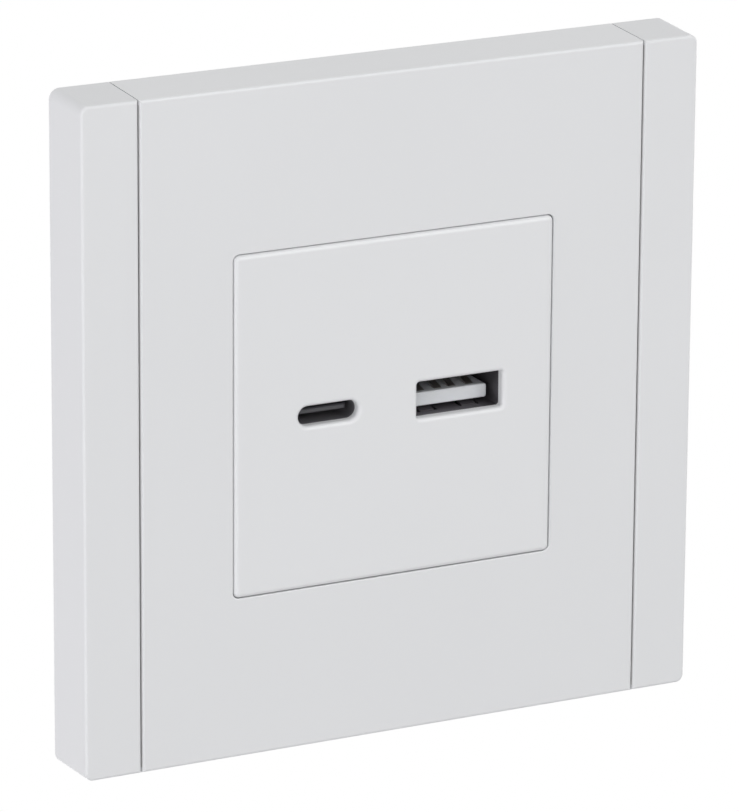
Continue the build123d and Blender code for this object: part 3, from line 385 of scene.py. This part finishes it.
def film_box():
    """Smooth yellow box of the film capacitor, with a faint grain."""
    s = Surface("film_box")
    s.colour(s.mix(s.noise(4 * MM), rgb(0.62, 0.40, 0.02), rgb(0.70, 0.47, 0.04)))
    s.roughness(s.noise(0.6 * MM), low=0.30, high=0.44)
    s.bump(s.noise(0.3 * MM), depth=8 * MICRON)
    return s.material


def capacitor_sleeve(name):
    """Dark shrink sleeve with a pale stripe down one side, and the bare can at its front end."""
    s = Surface(name)
    low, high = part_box(name)
    axis_x = (low.x + high.x) / 2
    can = s.fall(s.axis("Y"), *(low.y + edge for edge in CAN_END))
    stripe = s.fall(s.axis("X"), *(axis_x + edge for edge in STRIPE_EDGE))
    wrap = s.mix(stripe, rgb(0.012, 0.018, 0.045), rgb(0.42, 0.45, 0.50))
    s.colour(s.mix(can, wrap, rgb(0.62, 0.63, 0.64)))
    s.metal(can)
    s.roughness(s.noise(0.8 * MM), low=0.22, high=0.36)
    s.bump(s.noise(1.5 * MM, detail=2.0), depth=20 * MICRON)
    return s.material


def copper_wire():
    """Enamelled copper winding: round turns side by side."""
    s = Surface("copper_wire")
    wave = s.nodes.new("ShaderNodeTexWave")
    wave.bands_direction = "Y"
    wave.inputs["Scale"].default_value = 1.0 / WIRE_WAVE
    wave.inputs["Distortion"].default_value = WIRE_WAVER
    s.link(s.coords, wave.inputs["Vector"])
    turns = wave.outputs["Fac"]
    s.colour(s.mix(turns, rgb(0.20, 0.055, 0.015), rgb(0.58, 0.22, 0.075)))
    s.metal()
    s.roughness(s.noise(0.6 * MM), low=0.22, high=0.34)
    s.bump(turns, depth=90 * MICRON)
    return s.material


def resistor_lacquer():
    """Green lacquer with four plain bands round the body and tinned leads."""
    s = Surface("resistor_lacquer")
    low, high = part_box("fuse_resistor")
    middle = (low.z + high.z) / 2
    body = s.mix(s.noise(0.8 * MM), rgb(0.075, 0.165, 0.120), rgb(0.105, 0.215, 0.155))
    for place, colour in BANDS:
        band = s.fall(s.away(s.axis("Z"), middle + place), *BAND_EDGE)
        body = s.mix(band, body, colour)
    lead = s.rise(s.away(s.axis("Z"), middle), *LEAD_START)
    s.colour(s.mix(lead, body, rgb(0.58, 0.58, 0.57)))
    s.metal(lead)
    s.roughness(s.noise(0.6 * MM), low=0.26, high=0.40)
    s.bump(s.noise(0.4 * MM, detail=2.0), depth=10 * MICRON)
    return s.material


def dress_nodes():
    """Gives every CAD node its material."""
    insert_white = white_plastic("insert_white", INSERT_TONES, INSERT_GLOSS)
    # the panel and the strips get painted shade in their joints
    panel_white = white_plastic("panel_white", PLATE_TONES, PANEL_GLOSS, shaded_joints=True)
    strip_white = white_plastic("strip_white", PLATE_TONES, STRIP_GLOSS, shaded_joints=True)
    a_steel = stamped_steel("usb_a_steel", rgb(0.148, 0.140, 0.152), rgb(0.192, 0.183, 0.197))
    c_steel = stamped_steel("usb_c_steel", rgb(0.252, 0.244, 0.264), rgb(0.308, 0.299, 0.320))
    zinc = zinc_steel()
    brass = plated_strip("brass_strip", rgb(0.62, 0.46, 0.22), rgb(0.80, 0.63, 0.36))
    nickel = plated_strip("nickel_strip", rgb(0.60, 0.58, 0.55), rgb(0.72, 0.695, 0.655))
    board = circuit_board()
    resin = chip_resin()
    core = ferrite()
    support = moulded_plastic("support_plastic", rgb(0.50, 0.51, 0.52), rgb(0.56, 0.57, 0.58))
    housing = moulded_plastic("housing_plastic", rgb(0.66, 0.66, 0.65), rgb(0.72, 0.72, 0.71))
    terminal_tones = (rgb(0.36, 0.37, 0.38), rgb(0.42, 0.43, 0.44))
    terminal = moulded_plastic("terminal_plastic", *terminal_tones, TERMINAL_GRAIN)
    white_tongue = tongue_plastic("tongue_white", rgb(0.80, 0.825, 0.85), rgb(0.86, 0.88, 0.90))
    black_tongue = tongue_plastic("tongue_black", rgb(0.055, 0.055, 0.061), rgb(0.110, 0.110, 0.119))
    finish = {
        "frame_panel": panel_white,
        "side_strip_left": strip_white,
        "side_strip_right": strip_white,
        "insert_cover": insert_white,
        "mounting_support": support,
        "insert_housing": housing,
        "terminal_block": terminal,
        "usb_a_shell": a_steel,
        "usb_c_shell": c_steel,
        "usb_a_insulator": white_tongue,
        "usb_c_insulator": black_tongue,
        "usb_a_contacts": nickel,
        "usb_c_contacts": nickel,
        "link_pins": brass,
        "terminal_bar_line": brass,
        "terminal_bar_neutral": brass,
        "port_board": board,
        "power_board": board,
        "port_controller": resin,
        "power_controller": resin,
        "link_header": resin,
        "transformer_bobbin": resin,
        "bridge_rectifier": resin,
        "transformer_core_front": core,
        "transformer_core_rear": core,
        "choke_core": core,
        "transformer_winding": polyester_tape(),
        "suppression_capacitor": film_box(),
        "choke_winding": copper_wire(),
        "fuse_resistor": resistor_lacquer(),
        "input_capacitor": capacitor_sleeve("input_capacitor"),
        "output_capacitor": capacitor_sleeve("output_capacitor"),
        "terminal_clamp_line": zinc,
        "terminal_clamp_neutral": zinc,
        "terminal_screw_line": zinc,
        "terminal_screw_neutral": zinc,
    }
    for name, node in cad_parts.items():
        node.data.materials.clear()
        node.data.materials.append(finish[name])


# Stage, light and camera


def add_to_scene(thing):
    """Puts an object in the scene."""
    bpy.context.scene.collection.objects.link(thing)


def white_to_camera(nodes, links, seen, lit):
    """Mixes two shaders: one for what the camera, mirrors and glass see, one for light on the object."""
    path = nodes.new("ShaderNodeLightPath")
    seen_by = path.outputs["Is Camera Ray"]
    for name in ("Is Glossy Ray", "Is Transmission Ray"):
        either = nodes.new("ShaderNodeMath")
        either.operation = "MAXIMUM"
        links.new(seen_by, either.inputs[0])
        links.new(path.outputs[name], either.inputs[1])
        seen_by = either.outputs["Value"]
    mix = nodes.new("ShaderNodeMixShader")
    links.new(seen_by, mix.inputs["Fac"])
    links.new(lit, mix.inputs[1])
    links.new(seen, mix.inputs[2])
    return mix.outputs["Shader"]


def make_floor():
    """Plain pale floor under the object."""
    half = FLOOR_SIZE / 2
    height = cad_box[0][2] - FLOOR_DROP
    corners = [(x, y, height) for x, y in ((-half, -half), (half, -half), (half, half), (-half, half))]
    mesh = bpy.data.meshes.new("floor")
    mesh.from_pydata(corners, [], [(0, 1, 2, 3)])
    material = bpy.data.materials.new("floor")
    material.use_nodes = True
    nodes = material.node_tree.nodes
    links = material.node_tree.links
    shader = nodes["Principled BSDF"]
    shader.inputs["Base Color"].default_value = FLOOR_COLOUR
    shader.inputs["Roughness"].default_value = FLOOR_ROUGHNESS
    seen = nodes.new("ShaderNodeEmission")
    seen.inputs["Color"].default_value = WHITE
    result = white_to_camera(nodes, links, seen.outputs["Emission"], shader.outputs["BSDF"])
    links.new(result, nodes["Material Output"].inputs["Surface"])
    mesh.materials.append(material)
    floor = bpy.data.objects.new("floor", mesh)
    add_to_scene(floor)


def make_world():
    """White surroundings: plain white to the camera, softer as light."""
    world = bpy.data.worlds.new("studio")
    bpy.context.scene.world = world
    world.use_nodes = True
    nodes = world.node_tree.nodes
    links = world.node_tree.links
    lit = nodes["Background"]
    lit.inputs["Color"].default_value = WHITE
    lit.inputs["Strength"].default_value = WORLD_STRENGTH
    seen = nodes.new("ShaderNodeBackground")
    seen.inputs["Color"].default_value = WHITE
    result = white_to_camera(nodes, links, seen.outputs["Background"], lit.outputs["Background"])
    links.new(result, nodes["World Output"].inputs["Surface"])


def make_lamp(name, place, size, power, colour):
    """Rectangular soft lamp that faces the frame's origin."""
    light = bpy.data.lights.new(name, "AREA")
    light.shape = "RECTANGLE"
    light.size, light.size_y = size
    light.energy = power
    light.color = colour
    lamp = bpy.data.objects.new(name, light)
    lamp.visible_camera = False
    place = Vector(place)
    lamp.matrix_world = Matrix.Translation(place) @ place.to_track_quat("Z", "Y").to_matrix().to_4x4()
    add_to_scene(lamp)


def make_camera():
    """Camera at the photograph's viewing angle."""
    azimuth = math.radians(CAMERA_AZIMUTH)
    elevation = math.radians(CAMERA_ELEVATION)
    roll = math.radians(CAMERA_ROLL)
    back = Vector((
        math.sin(azimuth) * math.cos(elevation),
        -math.cos(azimuth) * math.cos(elevation),
        math.sin(elevation),
    ))
    right = (-back).cross(Vector((0, 0, 1))).normalized()
    up = back.cross(right)
    turned_right = math.cos(roll) * right + math.sin(roll) * up
    turned_up = back.cross(turned_right)
    data = bpy.data.cameras.new("camera")
    data.sensor_width = SENSOR_MM
    data.lens = SENSOR_MM * FOCAL_PX / max(IMAGE_W, IMAGE_H)
    data.clip_start = CLIP_START
    camera = bpy.data.objects.new("camera", data)
    eye = CAMERA_TARGET + CAMERA_DISTANCE * back
    axes = Matrix((turned_right, turned_up, back)).transposed().to_4x4()
    camera.matrix_world = Matrix.Translation(eye) @ axes
    add_to_scene(camera)
    bpy.context.scene.camera = camera


dress_nodes()
make_floor()
make_world()
for lamp_values in LAMPS:
    make_lamp(*lamp_values)
make_camera()
bpy.context.scene.view_settings.view_transform = "Standard"
